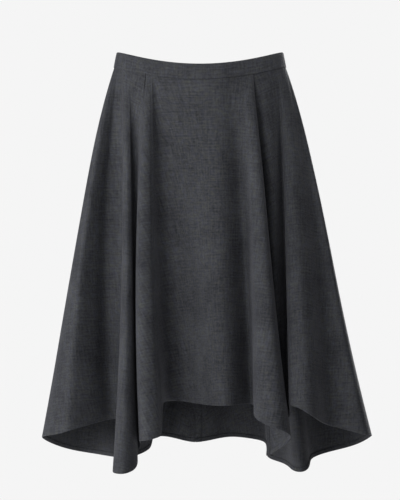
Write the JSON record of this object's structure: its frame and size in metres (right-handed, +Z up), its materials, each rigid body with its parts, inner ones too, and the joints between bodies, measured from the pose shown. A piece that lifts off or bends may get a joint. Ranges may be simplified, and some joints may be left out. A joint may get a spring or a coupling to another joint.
{
  "type": "asymmetric skirt",
  "caption": "Knee-length skirt in plain dark grey wool with a flat waistband, deep flutes falling from the waist, a handkerchief hem and a concealed back zip.",
  "frame": {"origin": "middle of the waist seam, level with the seam at the two sides", "axes": "+Z up along the wearer, -Y towards the front of the skirt, +X towards the right of someone who looks at the front"},
  "size_m": [0.5052, 0.3633, 0.6427],
  "materials": {
    "suiting": "fine plain weave wool, soft low sheen",
    "waistband_suiting": "fine plain weave wool, pressed flat",
    "zip_tape": "woven polyester tape",
    "zip_metal": "dark lacquered zinc"
  },
  "bodies": {
    "skirt": {"front_left": "suiting", "front_centre": "suiting", "front_right": "suiting", "back_right": "suiting", "back_left": "suiting", "waistband": "waistband_suiting", "zip_tape_left": "zip_tape", "zip_tape_right": "zip_tape", "zip_slider": "zip_metal"},
    "pull": {"zip_pull": "zip_metal"}
  },
  "joints": [
    {"name": "pull_hinge", "type": "hinge", "parent": "skirt", "child": "pull", "pos_m": [0, 0.08912, 0.0034], "axis": [1, 0, 0], "range_deg": [0, 150]}
  ]
}
